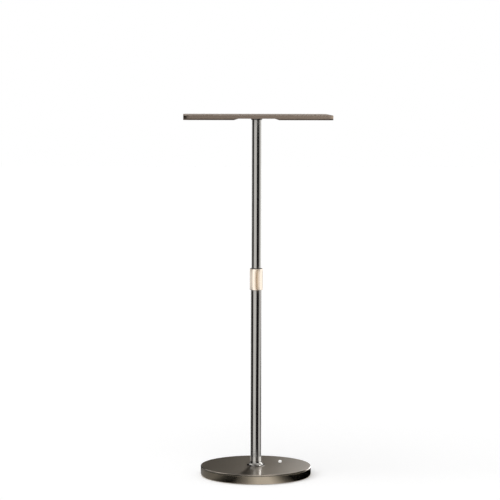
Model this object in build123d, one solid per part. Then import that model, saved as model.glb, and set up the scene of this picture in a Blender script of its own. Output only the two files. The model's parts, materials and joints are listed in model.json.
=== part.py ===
"""Portable projector stand: weighted round base, two-tube telescopic pole, sheet-metal tray.

Millimetres. The pole's axis is Z, the floor is Z = 0, the front faces -Y and the right side +X.
Drawn at full height, with the tray square to the frame.
"""

import os

from build123d import *

# Overall height, floor to the tray's top face
tray_top_height = 922.0

# Clearances shared by the fits
running_clearance = 0.05    # shaft in a hole that turns or slides
bonded_clearance = 0.1      # pieces glued or shrunk together
loose_clearance = 0.3       # curved neighbours that never touch
thread_clearance = 0.05     # screw in its plain-drawn thread
cut_margin = 2.0            # how far a cutting tool runs past the piece

# Base: cast weight, pressed cover and band
base_diameter = 282.0
base_top_height = 25.5
floor_gap = 2.0             # floor to the band's lower edge
cover_thickness = 1.5
cover_lip_height = 3.0      # outer edge of the cover
cover_lip_thickness = 2.0
cover_chamfer = 1.0
seam_height = 0.8           # shadow groove between the cover's lip and the band
band_thickness = 2.0
band_hook_height = 2.0      # inward hook that carries the weight's edge
band_hook_reach = 5.0
band_edge_radius = 0.6
pocket_inner_radius = 45.0  # cored pockets under the weight
pocket_depth = 12.0
pocket_count = 6
rib_width = 10.0

# Rubber floor pads
pad_count = 6
pad_radius = 8.0
pad_margin = 2.5            # flat land beside each pad
pad_edge_radius = 1.0

# Round button on the cover
button_foot_radius = 3.2    # flat where the ball meets the cover
button_height = 7.6
button_circle_radius = 71.0
button_angle = 26.0         # degrees from +X towards the back
button_stem_radius = 2.5
button_stem_length = 5.0

# Foot flange and its fixing
flange_radius = 22.5
flange_height = 10.5
flange_lip_height = 1.5
flange_neck_wall = 0.8
flange_web = 2.0            # floor of the tube's socket
spigot_length = 36.0
bolt_radius = 5.0
bolt_reach = 26.0           # thread engaged in the spigot
thread_runout = 2.0         # hole beyond the bolt's end
bolt_head_radius = 9.0
bolt_head_height = 5.5
bolt_socket_width = 6.0     # hexagon, across the flats
bolt_socket_depth = 3.0
washer_radius = 14.0
washer_thickness = 2.0
counterbore_margin = 3.0    # room round the washer
counterbore_depth = 8.5

# Telescopic tubes
upper_tube_radius = 12.0
upper_tube_wall = 1.2
lower_tube_wall = 1.2
telescope_clearance = 0.3
slide_travel = 300.0
lowest_gap = 8.0            # glide bush above the spigot at the lowest setting
glide_ring_height = 5.0
glide_spigot_length = 16.0
glide_bore_radius = 6.0

# Twist lock
collar_bottom_height = 477.0
collar_length = 54.0
collar_wall = 1.8
collar_edge_radius = 1.0
head_wall = 1.05
head_start = 8.0            # above the collar's lower end
head_length = 24.0
head_cap = 4.0              # part of the head that sits on the tube's end
collet_shoulder = 6.0       # straight part below the collet's cone
collet_neck = 3.0           # straight part inside the collar's mouth
collet_neck_wall = 1.25
collet_rise = 1.6           # lip that shows above the collar
collet_slot_count = 6
collet_slot_width = 1.2
collet_slot_floor = 3.0     # solid ring left below the slots

# Tray
tray_width = 372.0
tray_depth = 280.0
tray_corner_radius = 20.0
pan_thickness = 1.2
pan_rim_height = 8.0
pan_edge_radius = 1.0
trim_height = 3.5           # dark edging below the rim
trim_leg_thickness = 1.5    # leg that grips the rim from inside
trim_leg_height = 3.6
relief_half_top = 45.0      # bare stretch of rim at the front and the back
relief_half_bottom = 56.0
relief_offset = -5.0        # of the bare stretches from the tray's middle

# Tray plate, studs and nuts
plate_size = 120.0
plate_corner_radius = 12.0
plate_thickness = 3.0
hub_radius = 17.0
hub_height = 3.0
stud_radius = 2.5
stud_square_width = 90.0    # between the studs' centres
stud_hole_clearance = 0.25
nut_width = 8.0             # across the flats
nut_height = 2.7
stud_end = 0.6              # stud below its nut

# Swivel seat on top of the pole
seat_radius = 14.0
seat_thickness = 5.0
seat_spigot_length = 32.0
seat_edge_radius = 0.8
swivel_washer_thickness = 0.8
pivot_radius = 7.0
pivot_top_gap = 1.0         # pivot below the pan

# Heights that follow from the sizes above
base_radius = base_diameter / 2
cover_underside = base_top_height - cover_thickness
cover_lip_bottom = base_top_height - cover_lip_height
band_top = cover_lip_bottom - seam_height
weight_bottom = floor_gap + band_hook_height
hook_inner_radius = base_radius - band_thickness - band_hook_reach
pad_circle_radius = hook_inner_radius - pad_margin - pad_radius
pocket_outer_radius = pad_circle_radius - pad_radius - pad_margin
counterbore_top = weight_bottom + counterbore_depth
bolt_seat = counterbore_top - washer_thickness
socket_floor = base_top_height + flange_web
spigot_top = socket_floor + spigot_length

lower_tube_bore = upper_tube_radius + telescope_clearance
lower_tube_radius = lower_tube_bore + lower_tube_wall
upper_tube_bore = upper_tube_radius - upper_tube_wall

collar_top = collar_bottom_height + collar_length
head_bottom = collar_bottom_height + head_start
head_top = head_bottom + head_length
head_radius = lower_tube_radius + bonded_clearance + head_wall
tube_end = head_top - head_cap
collar_bore = head_radius + loose_clearance
collar_radius = collar_bore + collar_wall
collet_bore = upper_tube_radius + running_clearance
collet_neck_radius = collet_bore + collet_neck_wall
collet_cone_bottom = head_top + collet_shoulder
collet_cone_top = collar_top - collet_neck
collar_mouth = collet_neck_radius + loose_clearance

pan_underside = tray_top_height - pan_thickness
rim_bottom = tray_top_height - pan_rim_height
trim_bottom = rim_bottom - trim_height
plate_bottom = pan_underside - plate_thickness
hub_bottom = plate_bottom - hub_height
seat_top = hub_bottom - swivel_washer_thickness
seat_bottom = seat_top - seat_thickness
glide_bottom = spigot_top + lowest_gap + slide_travel
upper_tube_bottom = glide_bottom + glide_ring_height


def cylinder(radius, bottom, top):
    """Solid round bar about the pole's axis."""
    return Pos(0, 0, bottom) * extrude(Circle(radius), top - bottom)


def ring(inner, outer, bottom, top):
    """Round tube about the pole's axis."""
    return Pos(0, 0, bottom) * extrude(Circle(outer) - Circle(inner), top - bottom)


def turned(*points):
    """Solid turned about the pole's axis from (radius, height) corners."""
    outline = make_face(Polyline(*points, close=True))
    return revolve(Plane.XZ * outline, Axis.Z)


def tray_outline(inset):
    """The tray's rounded rectangle, drawn inwards by inset."""
    return RectangleRounded(
        tray_width - 2 * inset,
        tray_depth - 2 * inset,
        tray_corner_radius - inset,
    )


def tray_layer(inset, bottom, top):
    return Pos(0, 0, bottom) * extrude(tray_outline(inset), top - bottom)


def rim_edges(solid, height):
    """Edges of a solid that lie at one height."""
    return [e for e in solid.edges() if abs(e.center().Z - height) < 0.01 and e.bounding_box().size.Z < 0.01]


def outer_rim_edges(solid, height, radius):
    """Circular edges of one radius at one height."""
    return [
        e for e in rim_edges(solid, height)
        if e.geom_type == GeomType.CIRCLE and abs(e.radius - radius) < 0.01
    ]


def base_weight():
    weight = cylinder(base_radius - band_thickness - loose_clearance, weight_bottom, cover_underside)
    pockets = Circle(pocket_outer_radius) - Circle(pocket_inner_radius)
    for index in range(pocket_count):
        spoke = Pos(pocket_outer_radius / 2, 0) * Rectangle(pocket_outer_radius + cut_margin, rib_width)
        pockets -= Rot(0, 0, index * 360 / pocket_count) * spoke
    weight -= Pos(0, 0, weight_bottom) * extrude(pockets, pocket_depth)
    weight -= cylinder(washer_radius + counterbore_margin, weight_bottom, counterbore_top)
    weight -= cylinder(bolt_radius + loose_clearance, weight_bottom, base_top_height)
    weight -= button_place() * cylinder(
        button_stem_radius + loose_clearance,
        base_top_height - button_stem_length - loose_clearance,
        base_top_height,
    )
    return weight


def base_cover():
    cover = cylinder(base_radius, cover_lip_bottom, base_top_height)
    cover = chamfer(outer_rim_edges(cover, base_top_height, base_radius), cover_chamfer)
    cover -= cylinder(base_radius - cover_lip_thickness, cover_lip_bottom, cover_underside)
    cover -= cylinder(bolt_radius + loose_clearance, cover_underside, base_top_height)
    cover -= button_place() * cylinder(
        button_stem_radius + bonded_clearance, cover_underside, base_top_height
    )
    return cover


def base_band():
    wall = ring(base_radius - band_thickness, base_radius, floor_gap, band_top)
    hook = ring(hook_inner_radius, base_radius, floor_gap, weight_bottom)
    band = wall + hook
    edges = outer_rim_edges(band, band_top, base_radius) + outer_rim_edges(band, floor_gap, base_radius)
    return fillet(edges, band_edge_radius)


def floor_pads():
    """Six rubber pads on the weight's solid edge, between the pockets and the band's hook."""
    pad = cylinder(pad_radius, 0, weight_bottom)
    pad = fillet(outer_rim_edges(pad, 0, pad_radius), pad_edge_radius)
    return Compound([
        Rot(0, 0, index * 360 / pad_count) * Pos(pad_circle_radius, 0, 0) * pad for index in range(pad_count)
    ])


def button_place():
    return Rot(0, 0, button_angle) * Pos(button_circle_radius, 0, 0)


def base_button():
    """Ball cut flat where it sits on the cover, with a stem through it."""
    crown = base_top_height + button_height
    ball_radius = (button_foot_radius**2 + button_height**2) / (2 * button_height)
    ball = Pos(0, 0, crown - ball_radius) * Sphere(ball_radius)
    ball = ball & cylinder(ball_radius + cut_margin, base_top_height, crown + cut_margin)
    stem = cylinder(button_stem_radius, base_top_height - button_stem_length, base_top_height)
    return button_place() * (ball + stem)


def foot_flange():
    """Flared foot with a socket round the lower tube and a spigot inside it."""
    bore = lower_tube_radius + bonded_clearance
    neck = bore + flange_neck_wall
    lip_top = base_top_height + flange_lip_height
    flange_top = base_top_height + flange_height
    spigot = lower_tube_bore - bonded_clearance
    flare = Polyline(
        (bore, flange_top),
        (bore, socket_floor),
        (spigot, socket_floor),
        (spigot, spigot_top),
        (0, spigot_top),
        (0, base_top_height),
        (flange_radius, base_top_height),
        (flange_radius, lip_top),
    )
    flare += ThreePointArc(
        (flange_radius, lip_top),
        (neck + (flange_radius - neck) * 0.32, lip_top + (flange_top - lip_top) * 0.34),
        (neck, flange_top),
    )
    flare += Line((neck, flange_top), (bore, flange_top))
    flange = revolve(Plane.XZ * make_face(flare), Axis.Z)
    thread_top = base_top_height + bolt_reach + thread_runout
    return flange - cylinder(bolt_radius + thread_clearance, base_top_height, thread_top)


def base_bolt():
    head_bottom_face = bolt_seat - bolt_head_height
    bolt = cylinder(bolt_head_radius, head_bottom_face, bolt_seat)
    bolt = fillet(outer_rim_edges(bolt, head_bottom_face, bolt_head_radius), bolt_head_height * 0.5)
    bolt += cylinder(bolt_radius, bolt_seat, base_top_height + bolt_reach)
    socket = RegularPolygon(bolt_socket_width / 2, 6, major_radius=False)
    return bolt - Pos(0, 0, head_bottom_face) * extrude(socket, bolt_socket_depth)


def base_washer():
    return ring(bolt_radius + loose_clearance, washer_radius, bolt_seat, counterbore_top)


def lower_tube():
    return ring(lower_tube_bore, lower_tube_radius, socket_floor, tube_end)


def lock_head():
    """Sleeve bonded on the lower tube's end, inside the collar."""
    sleeve = lower_tube_radius + bonded_clearance
    return turned(
        (sleeve, head_bottom),
        (head_radius, head_bottom),
        (head_radius, head_top),
        (lower_tube_bore, head_top),
        (lower_tube_bore, tube_end),
        (sleeve, tube_end),
    )


def lock_collet():
    """Slotted collet that the collar's cone closes on the upper tube."""
    collet_top = collar_top + collet_rise
    collet = turned(
        (collet_bore, head_top),
        (head_radius, head_top),
        (head_radius, collet_cone_bottom),
        (collet_neck_radius, collet_cone_top),
        (collet_neck_radius, collet_top),
        (collet_bore, collet_top),
    )
    slot_bottom = head_top + collet_slot_floor
    slot = Pos(head_radius, 0, slot_bottom) * extrude(
        Rectangle(2 * (head_radius - collet_bore + cut_margin), collet_slot_width), collet_top - slot_bottom
    )
    for index in range(collet_slot_count):
        collet -= Rot(0, 0, (index + 0.5) * 360 / collet_slot_count) * slot
    return collet


def lock_collar():
    collar = turned(
        (collar_bore, collar_bottom_height),
        (collar_radius, collar_bottom_height),
        (collar_radius, collar_top),
        (collar_mouth, collar_top),
        (collar_mouth, collet_cone_top),
        (collar_bore, collet_cone_bottom),
    )
    top = outer_rim_edges(collar, collar_top, collar_radius)
    bottom = outer_rim_edges(collar, collar_bottom_height, collar_radius)
    return fillet(top + bottom, collar_edge_radius)


def upper_tube():
    return ring(upper_tube_bore, upper_tube_radius, upper_tube_bottom, seat_bottom)


def glide_bush():
    """Plug in the upper tube's lower end, with a ring that guides it in the lower tube."""
    ring_radius = lower_tube_bore - bonded_clearance
    spigot = upper_tube_bore - bonded_clearance
    return turned(
        (glide_bore_radius, glide_bottom),
        (ring_radius, glide_bottom),
        (ring_radius, upper_tube_bottom),
        (spigot, upper_tube_bottom),
        (spigot, upper_tube_bottom + glide_spigot_length),
        (glide_bore_radius, upper_tube_bottom + glide_spigot_length),
    )


def swivel_seat():
    """Plug in the upper tube's top, with the flange and the pivot that carry the tray."""
    spigot = upper_tube_bore - bonded_clearance
    seat = cylinder(seat_radius, seat_bottom, seat_top)
    seat = fillet(outer_rim_edges(seat, seat_bottom, seat_radius), seat_edge_radius)
    seat += cylinder(spigot, seat_bottom - seat_spigot_length, seat_bottom)
    return seat + cylinder(pivot_radius, seat_top, pan_underside - pivot_top_gap)


def swivel_washer():
    return ring(pivot_radius + loose_clearance, seat_radius, seat_top, hub_bottom)


def stud_places():
    half = stud_square_width / 2
    return [Pos(x, y, 0) for x in (-half, half) for y in (-half, half)]


def tray_plate():
    plate = Pos(0, 0, plate_bottom) * extrude(
        RectangleRounded(plate_size, plate_size, plate_corner_radius), plate_thickness
    )
    plate += cylinder(hub_radius, hub_bottom, plate_bottom)
    plate -= cylinder(pivot_radius + running_clearance, hub_bottom, pan_underside)
    hole = cylinder(stud_radius + stud_hole_clearance, plate_bottom, pan_underside)
    for place in stud_places():
        plate -= place * hole
    return plate


def tray_studs():
    stud = cylinder(stud_radius, plate_bottom - nut_height - stud_end, pan_underside)
    return Compound([place * stud for place in stud_places()])


def plate_nuts():
    outline = RegularPolygon(nut_width / 2, 6, major_radius=False) - Circle(stud_radius + thread_clearance)
    nut = Pos(0, 0, plate_bottom - nut_height) * extrude(outline, nut_height)
    return Compound([place * nut for place in stud_places()])


def tray_pan():
    pan = tray_layer(0, rim_bottom, tray_top_height)
    pan = fillet(rim_edges(pan, tray_top_height), pan_edge_radius)
    return pan - tray_layer(pan_thickness, rim_bottom, pan_underside)


def edge_trims():
    """Left and right halves of the dark edging, with ramped ends at the bare stretches."""
    inner = pan_thickness + bonded_clearance + trim_leg_thickness
    edging = tray_layer(0, trim_bottom, rim_bottom) - tray_layer(inner, trim_bottom, rim_bottom)
    leg_top = rim_bottom + trim_leg_height
    edging += tray_layer(pan_thickness + bonded_clearance, rim_bottom, leg_top) - tray_layer(
        inner, rim_bottom, leg_top
    )
    gap = make_face(Polyline(
        (-relief_half_bottom, trim_bottom),
        (relief_half_bottom, trim_bottom),
        (relief_half_top, rim_bottom),
        (relief_half_top, leg_top),
        (-relief_half_top, leg_top),
        (-relief_half_top, rim_bottom),
        close=True,
    ))
    edging -= Pos(relief_offset, 0, 0) * extrude(Plane.XZ * gap, tray_depth, both=True)
    halves = edging.solids().sort_by(Axis.X)
    return halves[0], halves[-1]


left_trim, right_trim = edge_trims()

pieces = {
    "base_weight": base_weight(),
    "base_cover": base_cover(),
    "base_band": base_band(),
    "floor_pads": floor_pads(),
    "base_button": base_button(),
    "base_bolt": base_bolt(),
    "base_washer": base_washer(),
    "foot_flange": foot_flange(),
    "lower_tube": lower_tube(),
    "lock_head": lock_head(),
    "lock_collet": lock_collet(),
    "lock_collar": lock_collar(),
    "upper_tube": upper_tube(),
    "glide_bush": glide_bush(),
    "swivel_seat": swivel_seat(),
    "swivel_washer": swivel_washer(),
    "tray_plate": tray_plate(),
    "tray_studs": tray_studs(),
    "plate_nuts": plate_nuts(),
    "tray_pan": tray_pan(),
    "left_edge_trim": left_trim,
    "right_edge_trim": right_trim,
}

os.makedirs("parts", exist_ok=True)
for name, shape in pieces.items():
    export_step(shape, f"parts/{name}.step")
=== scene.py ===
"""Looks of the portable projector stand: finishes, studio light and the camera.

Metres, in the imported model's frame: the pole's axis is Z, the floor is Z = 0, the front faces -Y.
Azimuths are in degrees round the pole, from the front (-Y) towards the right (+X).
"""

import json
import math

import bpy
from mathutils import Euler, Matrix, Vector


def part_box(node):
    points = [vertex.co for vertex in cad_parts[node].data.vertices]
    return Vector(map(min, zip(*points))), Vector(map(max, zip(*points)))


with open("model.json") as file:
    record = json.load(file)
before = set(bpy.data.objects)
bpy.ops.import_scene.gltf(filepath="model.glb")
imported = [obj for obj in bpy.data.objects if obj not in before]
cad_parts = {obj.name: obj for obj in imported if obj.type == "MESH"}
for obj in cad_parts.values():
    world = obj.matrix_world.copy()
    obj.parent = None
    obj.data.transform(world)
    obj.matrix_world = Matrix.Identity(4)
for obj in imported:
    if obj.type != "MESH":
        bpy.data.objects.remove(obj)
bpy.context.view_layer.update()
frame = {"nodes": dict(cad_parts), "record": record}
nodes = frame["nodes"]

# Camera, fitted to the outlines of the base, the pole and the tray
frame_px = 500
focal_px = 2116.6
sensor_mm = 36.0
camera_distance = 5.366
camera_height = 1.003
camera_azimuth = -2.0
camera_tilt = 4.524     # degrees below the horizon
camera_pan = 0.183      # degrees to the left of the pole
camera_roll = 0.139     # degrees, the pole leans to the right

# Grain of the metals, in cycles per metre along X, Y and Z
drawn_grain = (1400.0, 1400.0, 9.0)     # lines along the pole
brushed_grain = (12.0, 1600.0, 1600.0)  # lines from side to side of the tray
rolled_grain = (8.0, 8.0, 1500.0)       # lines round the base's band
turned_grain = (1800.0, 1.0, 1.0)       # rings about the pole, X being the radius
plain_grain = (600.0, 600.0, 600.0)     # no direction

# Metals by slot: colour, roughness, grain and the grain's depth
metals = {
    "pole_metal": ((0.38, 0.368, 0.346), 0.15, drawn_grain, 0.0000002),
    "seat_metal": ((0.10, 0.095, 0.09), 0.30, drawn_grain, 0.000001),
    "collar_metal": ((1.0, 0.86, 0.73), 0.22, drawn_grain, 0.000001),
    "tray_metal": ((0.28, 0.222, 0.178), 0.36, brushed_grain, 0.000001),
    "base_cover_metal": ((0.39, 0.34, 0.28), 0.42, turned_grain, 0.000001),
    "base_band_metal": ((0.45, 0.385, 0.295), 0.13, rolled_grain, 0.000001),
    "fastener_steel": ((0.60, 0.60, 0.61), 0.34, plain_grain, 0.00001),
}
turned_slots = ["base_cover_metal"]

# Plastic, rubber and paint by slot: colour, roughness, pits per metre and the pits' depth
skins = {
    "cast_weight": ((0.022, 0.022, 0.022), 0.55, 260.0, 0.00025),
    "pad_rubber": ((0.014, 0.014, 0.014), 0.85, 1500.0, 0.00004),
    "button_white": ((0.90, 0.90, 0.88), 0.22, 900.0, 0.000004),
    "lock_plastic": ((0.012, 0.012, 0.012), 0.50, 2200.0, 0.00002),
    "plate_metal": ((0.018, 0.018, 0.018), 0.48, 1800.0, 0.00003),
    # Dark brown edging under the tray's rim: partly its own colour, partly painted shade standing in
    # for the shade along the rim's lower edge
    "trim_plastic": ((0.085, 0.062, 0.046), 0.70, 2000.0, 0.00002),
}

# How noise moves a finish: the part of its range that is used, its detail, its clouds and bump,
# and the factors between which it moves a plain value
noise_low = 0.3
noise_high = 0.7
line_detail = 2.0
pit_detail = 3.0
cloud_detail = 4.0
metal_clouds = 9.0      # cycles per metre
metal_roughness_span = (0.85, 1.2)
metal_tint_span = (0.96, 1.04)
metal_bump = 0.25
skin_clouds = 30.0      # cycles per metre
skin_roughness_span = (0.9, 1.12)
skin_tint_span = (0.9, 1.1)
skin_bump = 0.4

# Lacquer and cut edge of the base's cover, and the gloss of the tray and its edging
lacquer_weight = 0.8
lacquer_roughness = 0.10
cut_edge_width = 0.0013
cut_edge_fade = 0.0003
cut_edge_roughness = 0.13
tray_specular_tint = (0.80, 0.70, 0.61)
trim_specular = 0.2

# Studio light
white = (1.0, 1.0, 1.0)
backdrop_level = 1.0    # what the camera and the reflections see behind the stand
world_light = 0.45
floor_size = 40.0
floor_colour = (0.80, 0.80, 0.80)
floor_glow = 0.28       # lifts the lit floor to white and leaves the shadow
key_azimuth = -35.0
key_elevation = 52.0
key_strength = 1.9
key_spread = 70.0       # degrees, as a large softbox
sheen_azimuth = 166.5   # small softbox behind the stand, for the base's top and the pole's foot alone
sheen_distance = 0.88
sheen_height = 0.84
sheen_size = 0.08
sheen_power = 1.9
button_azimuth = 0.0    # low softbox in front, for the small button alone
button_distance = 1.0
button_height = 0.05
button_size = 0.4
button_power = 6.0
streak_azimuth = 112.0  # softbox over the rim that draws a bright streak down the pole's foot
streak_distance = 0.25
streak_height = 0.09
streak_size = (0.14, 0.36)
streak_level = 4.0

# Surrounds: how bright the studio looks in reflections, as (azimuth, level) stops round the pole
ring_steps = 180

# Room round the stand, from its floor to its ceiling, for every node but the base's cover
surround_radius = 1.30
mid_height = 0.42       # part of the wall that shows in the pole near the collar
upper_height = 0.55     # from here up it shows in the upper tube
pole_eye_height = 1.02  # above this the wall doesn't show in the pole from the front
high_bottom = 1.10
high_top = 1.45
top_bottom = 1.60
surround_height = 2.60
ceiling_radius = 0.60
low_levels = [
    (-180, 0.0), (-152, 0.0), (-142, 0.60), (-132, 0.60), (-122, 0.03), (-74, 0.03), (-56, 1.25),
    (-14, 1.25), (0, 0.01), (50, 0.01), (66, 1.35), (82, 1.35), (100, 0.40), (126, 0.32), (142, 0.50),
    (156, 0.50), (168, 0.0), (180, 0.0),
]
mid_levels = [
    (-180, 0.0), (-152, 0.0), (-141, 0.85), (-130, 0.85), (-120, 0.03), (-74, 0.03),
    (-56, 1.25), (-2, 1.25), (8, 0.01), (60, 0.01), (78, 0.90), (108, 1.10), (124, 1.80), (144, 1.80),
    (156, 1.0), (168, 0.0), (180, 0.0),
]
upper_levels = [
    (-180, 0.0), (-158, 0.0), (-148, 0.60), (-142, 1.10), (-130, 1.10), (-120, 0.03), (-74, 0.03),
    (-56, 1.25), (-2, 1.25), (8, 0.01), (60, 0.01), (78, 0.90), (108, 1.10), (124, 1.80), (144, 1.80),
    (154, 1.20), (168, 0.0), (180, 0.0),
]
high_levels = [
    (-180, 0.0), (-154, 0.0), (-142, 1.4), (-106, 1.5), (-80, 0.50), (-40, 0.50), (0, 0.50),
    (20, 1.50), (80, 1.50), (120, 1.20), (150, 1.20), (165, 0.0), (180, 0.0),
]
top_levels = [
    (-180, 0.60), (-150, 0.60), (-120, 1.2), (-104, 1.0), (-90, 0.30), (-20, 0.30), (20, 0.70),
    (110, 0.70), (150, 0.60), (180, 0.60),
]

# The same room as the base's cover alone sees it
base_radius = 1.25
base_low_top = 0.46
base_levels = [
    (-180, 0.0), (-172, 0.0), (-156, 0.08), (-140, 0.12), (-100, 0.35), (100, 0.35), (142, 0.45),
    (147, 1.8), (157, 1.8), (164, 0.55), (171, 0.26), (176, 0.0), (180, 0.0),
]
base_upper_levels = [
    (-180, 0.0), (-172, 0.0), (-158, 0.05), (-148, 0.25), (-142, 0.50), (-130, 0.80), (-118, 0.40),
    (118, 0.40), (136, 0.80), (144, 1.8), (156, 1.8), (165, 0.10), (174, 0.0), (180, 0.0),
]
base_high_levels = [
    (-180, 0.0), (-156, 0.0), (-142, 0.70), (-106, 1.2), (-80, 0.50), (0, 0.50),
    (20, 1.0), (120, 1.0), (150, 0.9), (168, 0.0), (180, 0.0),
]
base_top_levels = [
    (-180, 0.0), (-160, 0.0), (-140, 0.30), (-120, 0.8), (-104, 1.0), (-90, 0.50), (0, 0.50),
    (20, 0.70), (110, 0.70), (140, 0.60), (160, 0.0), (180, 0.0),
]

# Cards over the floor, each at a height of its own so that no two share a plane
pole_floor_height = 0.0004
base_floor_height = 0.0005
band_card_height = 0.0006
rim_card_height = 0.0007
near_inner_radius = 0.147
near_outer_radius = 0.30
band_levels = [             # shows in the base's band
    (-180, 0.45), (-145, 0.30), (-134, 0.06), (-122, 0.10), (-104, 0.25), (-64, 0.24), (-50, 0.07),
    (-41, 0.01), (-31, 0.01), (-15, 0.32), (0, 0.92), (16, 0.95), (36, 0.18), (50, 0.0), (134, 0.0),
    (150, 0.30), (180, 0.45),
]
rim_levels = [              # shows as a glint on the right end of the cover's edge
    (84, 0.0), (92, 0.5), (99, 2.2), (118, 2.2), (130, 1.4), (150, 0.0),
]

# Glow over the base's top that shows in the lower tube alone
apron_inner = 0.03
apron_outer = 0.139
apron_rise = 0.0004
apron_levels = [
    (-180, 0.0), (-162, 0.0), (-152, 0.95), (-138, 0.95), (-126, 0.0), (-68, 0.0), (-50, 1.05),
    (-14, 1.05), (0, 0.03), (50, 0.03), (66, 1.20), (94, 1.60), (110, 1.60), (126, 0.95),
    (142, 0.50), (156, 0.40), (168, 0.0), (180, 0.0),
]

# Card over the rim that shows in the pole's image on the base, seen from below only
foot_card_height = 0.09
foot_card_inner = 0.23
foot_card_outer = 0.40
foot_levels = [(-150, 0.0), (-60, 0.0), (-46, 0.2), (-16, 0.2), (0, 0.0), (60, 0.0)]

# Ring round the collar, and a warm card for the collar's dark middle
collar_ring_radius = 0.10
collar_ring_bottom = 0.469
collar_ring_top = 0.523
collar_levels = [
    (-180, 0.80), (-130, 0.75), (-100, 0.58), (-72, 0.70), (-52, 1.18), (-34, 1.12), (-16, 0.52),
    (-2, 0.09), (8, 0.09), (19, 0.35), (37, 0.60), (52, 0.80), (72, 1.02), (88, 1.18), (116, 0.80),
    (180, 0.80),
]
warm_card_radius = 0.095
warm_card_colour = (1.0, 0.70, 0.40)
warm_card_levels = [(-30, 0.0), (-10, 0.25), (8, 0.28), (20, 0.27), (40, 0.17), (60, 0.0)]

# Ring round the tray that shows in its rim
tray_ring_radius = 0.45
tray_ring_bottom = 0.909
tray_ring_top = 1.02
tray_levels = [
    (-180, 1.10), (-152, 1.10), (-135, 0.02), (-40, 0.05), (-20, 0.30), (-8, 0.45), (12, 1.05),
    (30, 1.40), (120, 1.40), (150, 1.10), (180, 1.10),
]


def spot(azimuth, radius, height):
    """Point at an azimuth, a radius and a height round the pole."""
    angle = math.radians(azimuth)
    return Vector((radius * math.sin(angle), -radius * math.cos(angle), height))


def link(obj):
    """Puts a new object into the scene."""
    bpy.context.scene.collection.objects.link(obj)
    return obj


def mesh_object(name, points, faces):
    """New object made of points and faces."""
    mesh = bpy.data.meshes.new(name)
    mesh.from_pydata([tuple(p) for p in points], [], faces)
    mesh.validate()
    return link(bpy.data.objects.new(name, mesh))


# Materials


def shader_of(material):
    """The material's main shader."""
    return material.node_tree.nodes["Principled BSDF"]


def principled(name, colour, metallic, roughness):
    """New material with its constant values set on the shader's own sockets."""
    material = bpy.data.materials.new(name)
    material.use_nodes = True
    shader = shader_of(material)
    shader.inputs["Base Color"].default_value = (*colour, 1.0)
    shader.inputs["Metallic"].default_value = metallic
    shader.inputs["Roughness"].default_value = roughness
    return material, material.node_tree, shader


def add_noise(tree, stretch, detail, vector=None):
    """Noise over the object's own coordinates, in cycles per metre along X, Y and Z."""
    mapping = tree.nodes.new("ShaderNodeMapping")
    mapping.inputs["Scale"].default_value = stretch
    if vector is None:
        vector = tree.nodes.new("ShaderNodeTexCoord").outputs["Object"]
    tree.links.new(vector, mapping.inputs["Vector"])
    noise = tree.nodes.new("ShaderNodeTexNoise")
    noise.inputs["Scale"].default_value = 1.0
    noise.inputs["Detail"].default_value = detail
    tree.links.new(mapping.outputs["Vector"], noise.inputs["Vector"])
    return noise.outputs["Fac"]


def ring_vector(tree):
    """Vector that changes with the radius alone, for a finish turned about the pole's axis."""
    flat = tree.nodes.new("ShaderNodeVectorMath")
    flat.operation = "MULTIPLY"
    flat.inputs[1].default_value = (1.0, 1.0, 0.0)
    coordinates = tree.nodes.new("ShaderNodeTexCoord")
    tree.links.new(coordinates.outputs["Object"], flat.inputs[0])
    length = tree.nodes.new("ShaderNodeVectorMath")
    length.operation = "LENGTH"
    tree.links.new(flat.outputs["Vector"], length.inputs[0])
    return length.outputs["Value"]


def vary(tree, factor, socket, value, span):
    """Drives a shader value from noise, between two factors on the plain value."""
    limits = tree.nodes.new("ShaderNodeMapRange")
    limits.inputs["From Min"].default_value = noise_low
    limits.inputs["From Max"].default_value = noise_high
    limits.inputs["To Min"].default_value = value * span[0]
    limits.inputs["To Max"].default_value = value * span[1]
    tree.links.new(factor, limits.inputs["Value"])
    tree.links.new(limits.outputs["Result"], socket)


def shade(colour, amount):
    """A colour made lighter or darker, no channel beyond 1."""
    return tuple(min(1.0, channel * amount) for channel in colour)


def tint(tree, factor, shader, colour, span):
    """Drives the base colour from noise, between two factors on the plain colour."""
    ramp = tree.nodes.new("ShaderNodeValToRGB")
    dark, light = ramp.color_ramp.elements
    dark.position = noise_low
    dark.color = (*shade(colour, span[0]), 1.0)
    light.position = noise_high
    light.color = (*shade(colour, span[1]), 1.0)
    tree.links.new(factor, ramp.inputs["Fac"])
    tree.links.new(ramp.outputs["Color"], shader.inputs["Base Color"])


def add_bump(tree, factor, shader, strength, depth):
    """Raises and lowers the surface by noise, in the shading only."""
    bump = tree.nodes.new("ShaderNodeBump")
    bump.inputs["Strength"].default_value = strength
    bump.inputs["Distance"].default_value = depth
    tree.links.new(factor, bump.inputs["Height"])
    tree.links.new(bump.outputs["Normal"], shader.inputs["Normal"])


def grained_metal(slot, colour, roughness, grain, depth):
    """Metal with a fine grain: drawn along an axis, or turned in rings about the pole."""
    material, tree, shader = principled(slot, colour, 1.0, roughness)
    vector = ring_vector(tree) if slot in turned_slots else None
    lines = add_noise(tree, grain, line_detail, vector)
    clouds = add_noise(tree, (metal_clouds, metal_clouds, metal_clouds), cloud_detail)
    vary(tree, lines, shader.inputs["Roughness"], roughness, metal_roughness_span)
    tint(tree, clouds, shader, colour, metal_tint_span)
    add_bump(tree, lines, shader, metal_bump, depth)
    return material


def pitted_skin(slot, colour, roughness, grain, depth):
    """Plastic, rubber or paint with fine pits."""
    material, tree, shader = principled(slot, colour, 0.0, roughness)
    pits = add_noise(tree, (grain, grain, grain), pit_detail)
    clouds = add_noise(tree, (skin_clouds, skin_clouds, skin_clouds), cloud_detail)
    vary(tree, clouds, shader.inputs["Roughness"], roughness, skin_roughness_span)
    tint(tree, clouds, shader, colour, skin_tint_span)
    add_bump(tree, pits, shader, skin_bump, depth)
    return material


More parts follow.
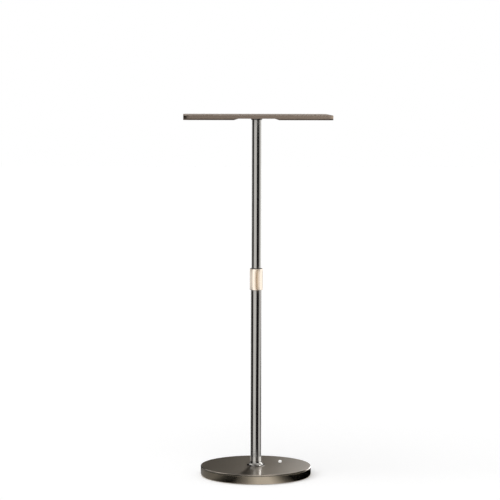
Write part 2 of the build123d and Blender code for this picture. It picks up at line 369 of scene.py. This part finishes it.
def polish_edge(material, start, roughness):
    """Brings the roughness down to a polish beyond a radius from the pole's axis."""
    tree = material.node_tree
    shader = shader_of(material)
    edge = tree.nodes.new("ShaderNodeMapRange")
    edge.inputs["From Min"].default_value = start
    edge.inputs["From Max"].default_value = start + cut_edge_fade
    tree.links.new(ring_vector(tree), edge.inputs["Value"])
    blend = tree.nodes.new("ShaderNodeMix")
    blend.inputs["B"].default_value = roughness
    tree.links.new(edge.outputs["Result"], blend.inputs["Factor"])
    tree.links.new(shader.inputs["Roughness"].links[0].from_socket, blend.inputs["A"])
    tree.links.new(blend.outputs["Result"], shader.inputs["Roughness"])


def lacquer(material):
    """Clear lacquer over a metal."""
    shader = shader_of(material)
    shader.inputs["Coat Weight"].default_value = lacquer_weight
    shader.inputs["Coat Roughness"].default_value = lacquer_roughness


finishes = {slot: grained_metal(slot, *values) for slot, values in metals.items()}
finishes.update({slot: pitted_skin(slot, *values) for slot, values in skins.items()})
cut_edge_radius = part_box("base_cover")[1][0] - cut_edge_width
lacquer(finishes["base_cover_metal"])
polish_edge(finishes["base_cover_metal"], cut_edge_radius, cut_edge_roughness)
tray_shader = shader_of(finishes["tray_metal"])
tray_shader.inputs["Specular Tint"].default_value = (*tray_specular_tint, 1.0)
trim_shader = shader_of(finishes["trim_plastic"])
trim_shader.inputs["Specular IOR Level"].default_value = trim_specular

for part in frame["record"]["subparts"]:
    node = nodes[part["node"]]
    node.data.materials.clear()
    node.data.materials.append(finishes[part["material_slot"]])

# The lacquer shows no image of the small button
nodes["base_button"].visible_glossy = False


# Studio: backdrop, floor, lamps and surrounds


def seen_rays(tree):
    """1 for camera, glossy and transmission rays, 0 for the rays that light the object."""
    path = tree.nodes.new("ShaderNodeLightPath")
    first = tree.nodes.new("ShaderNodeMath")
    first.operation = "MAXIMUM"
    tree.links.new(path.outputs["Is Camera Ray"], first.inputs[0])
    tree.links.new(path.outputs["Is Glossy Ray"], first.inputs[1])
    second = tree.nodes.new("ShaderNodeMath")
    second.operation = "MAXIMUM"
    tree.links.new(first.outputs["Value"], second.inputs[0])
    tree.links.new(path.outputs["Is Transmission Ray"], second.inputs[1])
    return second.outputs["Value"]


def clear_behind(tree, shader):
    """Lets rays through where they meet the back of a face."""
    clear = tree.nodes.new("ShaderNodeBsdfTransparent")
    sides = tree.nodes.new("ShaderNodeMixShader")
    geometry = tree.nodes.new("ShaderNodeNewGeometry")
    tree.links.new(geometry.outputs["Backfacing"], sides.inputs["Fac"])
    tree.links.new(shader, sides.inputs[1])
    tree.links.new(clear.outputs["BSDF"], sides.inputs[2])
    return sides.outputs["Shader"]


def bare_material(name):
    """New material with nothing but its output."""
    material = bpy.data.materials.new(name)
    material.use_nodes = True
    material.node_tree.nodes.remove(shader_of(material))
    return material, material.node_tree


def build_world():
    """Even light on the stand, and a white backdrop for the rays that see it."""
    world = bpy.data.worlds.new("studio")
    bpy.context.scene.world = world
    world.use_nodes = True
    tree = world.node_tree
    lit = tree.nodes["Background"]
    lit.inputs["Color"].default_value = (*white, 1.0)
    lit.inputs["Strength"].default_value = world_light
    backdrop = tree.nodes.new("ShaderNodeBackground")
    backdrop.inputs["Color"].default_value = (*white, 1.0)
    backdrop.inputs["Strength"].default_value = backdrop_level
    mix = tree.nodes.new("ShaderNodeMixShader")
    tree.links.new(seen_rays(tree), mix.inputs["Fac"])
    tree.links.new(lit.outputs["Background"], mix.inputs[1])
    tree.links.new(backdrop.outputs["Background"], mix.inputs[2])
    tree.links.new(mix.outputs["Shader"], tree.nodes["World Output"].inputs["Surface"])


def build_floor():
    """Matt pale floor that glows a little for the rays that see it, clear from below."""
    half = floor_size / 2
    corners = [(-half, -half, 0), (half, -half, 0), (half, half, 0), (-half, half, 0)]
    floor = mesh_object("floor", corners, [(0, 1, 2, 3)])
    material, tree = bare_material("floor")
    matt = tree.nodes.new("ShaderNodeBsdfDiffuse")
    matt.inputs["Color"].default_value = (*floor_colour, 1.0)
    glow = tree.nodes.new("ShaderNodeEmission")
    glow_strength = tree.nodes.new("ShaderNodeMath")
    glow_strength.operation = "MULTIPLY"
    glow_strength.inputs[1].default_value = floor_glow
    tree.links.new(seen_rays(tree), glow_strength.inputs[0])
    tree.links.new(glow_strength.outputs["Value"], glow.inputs["Strength"])
    both = tree.nodes.new("ShaderNodeAddShader")
    tree.links.new(matt.outputs["BSDF"], both.inputs[0])
    tree.links.new(glow.outputs["Emission"], both.inputs[1])
    surface = clear_behind(tree, both.outputs["Shader"])
    tree.links.new(surface, tree.nodes["Material Output"].inputs["Surface"])
    floor.data.materials.append(material)


def light_only(source, names):
    """Keeps the light of a lamp or a surround to some of the stand's nodes."""
    lit = bpy.data.collections.new(source.name)
    for name in names:
        lit.objects.link(nodes[name])
    source.light_linking.receiver_collection = lit


def level_at(azimuth, stops):
    """Level at an azimuth, straight between the stops on either side."""
    for (start, first), (end, last) in zip(stops, stops[1:]):
        if start <= azimuth <= end:
            return first + (last - first) * (azimuth - start) / (end - start)


def surround_material(one_sided, see_through, colour):
    """Glow that takes its strength from the level stored on the mesh."""
    material, tree = bare_material("surround")
    stored = tree.nodes.new("ShaderNodeAttribute")
    stored.attribute_name = "level"
    glow = tree.nodes.new("ShaderNodeEmission")
    glow.inputs["Color"].default_value = (*colour, 1.0)
    tree.links.new(stored.outputs["Fac"], glow.inputs["Strength"])
    surface = glow.outputs["Emission"]
    if one_sided:
        surface = clear_behind(tree, surface)
    if see_through:
        clear = tree.nodes.new("ShaderNodeBsdfTransparent")
        both = tree.nodes.new("ShaderNodeAddShader")
        tree.links.new(surface, both.inputs[0])
        tree.links.new(clear.outputs["BSDF"], both.inputs[1])
        surface = both.outputs["Shader"]
    tree.links.new(surface, tree.nodes["Material Output"].inputs["Surface"])
    return material


def surround(name, rows, shown_in=None, one_sided=False, see_through=False, colour=white):
    """Glowing ring or card round the pole that shows only in reflections.

    Each row gives a radius, a height and the levels there. shown_in keeps the glow to some nodes,
    one_sided clears the back of the faces, and see_through adds the glow to what lies behind it.
    """
    first_azimuth = rows[0][2][0][0]
    last_azimuth = rows[0][2][-1][0]
    points = []
    levels = []
    for i in range(ring_steps + 1):
        azimuth = first_azimuth + (last_azimuth - first_azimuth) * i / ring_steps
        for radius, height, stops in rows:
            points.append(spot(azimuth, radius, height))
            levels.append(level_at(azimuth, stops))
    width = len(rows)
    faces = []
    for i in range(ring_steps):
        for j in range(width - 1):
            corner = i * width + j
            faces.append((corner, corner + width, corner + width + 1, corner + 1))
    ring = mesh_object(name, points, faces)
    ring.data.attributes.new("level", "FLOAT", "POINT").data.foreach_set("value", levels)
    ring.data.materials.append(surround_material(one_sided, see_through, colour))
    if shown_in:
        light_only(ring, shown_in)
    ring.visible_camera = False
    ring.visible_diffuse = False
    ring.visible_transmission = False
    ring.visible_shadow = False


def new_lamp(name, kind, place):
    """Lamp at a place, facing down until it is turned."""
    lamp = link(bpy.data.objects.new(name, bpy.data.lights.new(name, kind)))
    lamp.location = place
    return lamp


def aim_at_foot(lamp):
    """Turns a lamp to the point of the floor under the pole."""
    lamp.rotation_euler = (-lamp.location).to_track_quat("-Z", "Y").to_euler()


def button_light():
    """Low softbox in front, for the small button alone."""
    lamp = new_lamp("button", "AREA", spot(button_azimuth, button_distance, button_height))
    aim_at_foot(lamp)
    lamp.data.energy = button_power
    lamp.data.size = button_size
    lamp.visible_glossy = False
    lamp.visible_camera = False
    light_only(lamp, ["base_button"])


def key_light():
    """Soft sun that lights the matt surfaces, kept out of the reflections."""
    lamp = new_lamp("key", "SUN", spot(key_azimuth, 1.0, math.tan(math.radians(key_elevation))))
    aim_at_foot(lamp)
    lamp.data.energy = key_strength
    lamp.data.angle = math.radians(key_spread)
    lamp.visible_glossy = False


def sheen_light():
    """Softbox that draws the pole's shadow across the sheen of the base."""
    lamp = new_lamp("sheen", "AREA", spot(sheen_azimuth, sheen_distance, sheen_height))
    aim_at_foot(lamp)
    lamp.data.energy = sheen_power
    lamp.data.size = sheen_size
    lamp.visible_diffuse = False
    lamp.visible_camera = False
    light_only(lamp, ["base_cover", "foot_flange", "lower_tube"])


def streak_light():
    """Softbox facing down, its long side along the rim, for the lower tube and its flange alone."""
    lamp = new_lamp("streak", "AREA", spot(streak_azimuth, streak_distance, streak_height))
    lamp.rotation_euler = (0.0, 0.0, math.radians(streak_azimuth - 90.0))
    lamp.data.shape = "RECTANGLE"
    lamp.data.size, lamp.data.size_y = streak_size
    lamp.data.energy = streak_level * math.pi * streak_size[0] * streak_size[1]
    lamp.visible_diffuse = False
    lamp.visible_camera = False
    light_only(lamp, ["lower_tube", "foot_flange"])


build_world()
build_floor()
button_light()
key_light()
sheen_light()
streak_light()
surround("pole_surround", [
    (near_outer_radius, pole_floor_height, low_levels),
    (surround_radius, pole_floor_height, low_levels),
    (surround_radius, mid_height, mid_levels),
    (surround_radius, upper_height, upper_levels),
    (surround_radius, pole_eye_height, upper_levels),
    (surround_radius, high_bottom, high_levels),
    (surround_radius, high_top, high_levels),
    (surround_radius, top_bottom, top_levels),
    (surround_radius, surround_height, top_levels),
    (ceiling_radius, surround_height, top_levels),
], shown_in=[name for name in nodes if name != "base_cover"])
surround("base_surround", [
    (near_outer_radius, base_floor_height, base_levels),
    (base_radius, base_floor_height, base_levels),
    (base_radius, base_low_top, base_levels),
    (base_radius, upper_height, base_upper_levels),
    (base_radius, pole_eye_height, base_upper_levels),
    (base_radius, high_bottom, base_high_levels),
    (base_radius, high_top, base_high_levels),
    (base_radius, top_bottom, base_top_levels),
    (base_radius, surround_height, base_top_levels),
    (ceiling_radius, surround_height, base_top_levels),
], shown_in=["base_cover"], see_through=True)
surround("rim_card", [
    (near_inner_radius, rim_card_height, rim_levels),
    (near_outer_radius, rim_card_height, rim_levels),
], shown_in=["base_cover"], see_through=True)
base_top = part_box("base_cover")[1][2]
surround("foot_apron", [
    (apron_inner, base_top + apron_rise, apron_levels),
    (apron_outer, base_top + apron_rise, apron_levels),
], shown_in=["lower_tube"], see_through=True)
surround("foot_card", [
    (foot_card_inner, foot_card_height, foot_levels),
    (foot_card_outer, foot_card_height, foot_levels),
], one_sided=True)
surround("collar_surround", [
    (collar_ring_radius, collar_ring_bottom, collar_levels),
    (collar_ring_radius, collar_ring_top, collar_levels),
])
surround("warm_card", [
    (warm_card_radius, collar_ring_bottom, warm_card_levels),
    (warm_card_radius, collar_ring_top, warm_card_levels),
], see_through=True, colour=warm_card_colour)
surround("tray_surround", [
    (tray_ring_radius, tray_ring_bottom, tray_levels),
    (tray_ring_radius, tray_ring_top, tray_levels),
])
surround("band_surround", [
    (near_inner_radius, band_card_height, band_levels),
    (near_outer_radius, band_card_height, band_levels),
])


# Camera

camera_data = bpy.data.cameras.new("camera")
camera_data.sensor_width = sensor_mm
camera_data.lens = focal_px * sensor_mm / frame_px
camera = link(bpy.data.objects.new("camera", camera_data))
camera.location = spot(camera_azimuth, camera_distance, camera_height)
camera.rotation_euler = Euler((
    math.radians(90.0 - camera_tilt),
    math.radians(-camera_roll),
    math.radians(camera_azimuth + camera_pan),
))
scene = bpy.context.scene
scene.camera = camera
scene.view_settings.view_transform = "Standard"
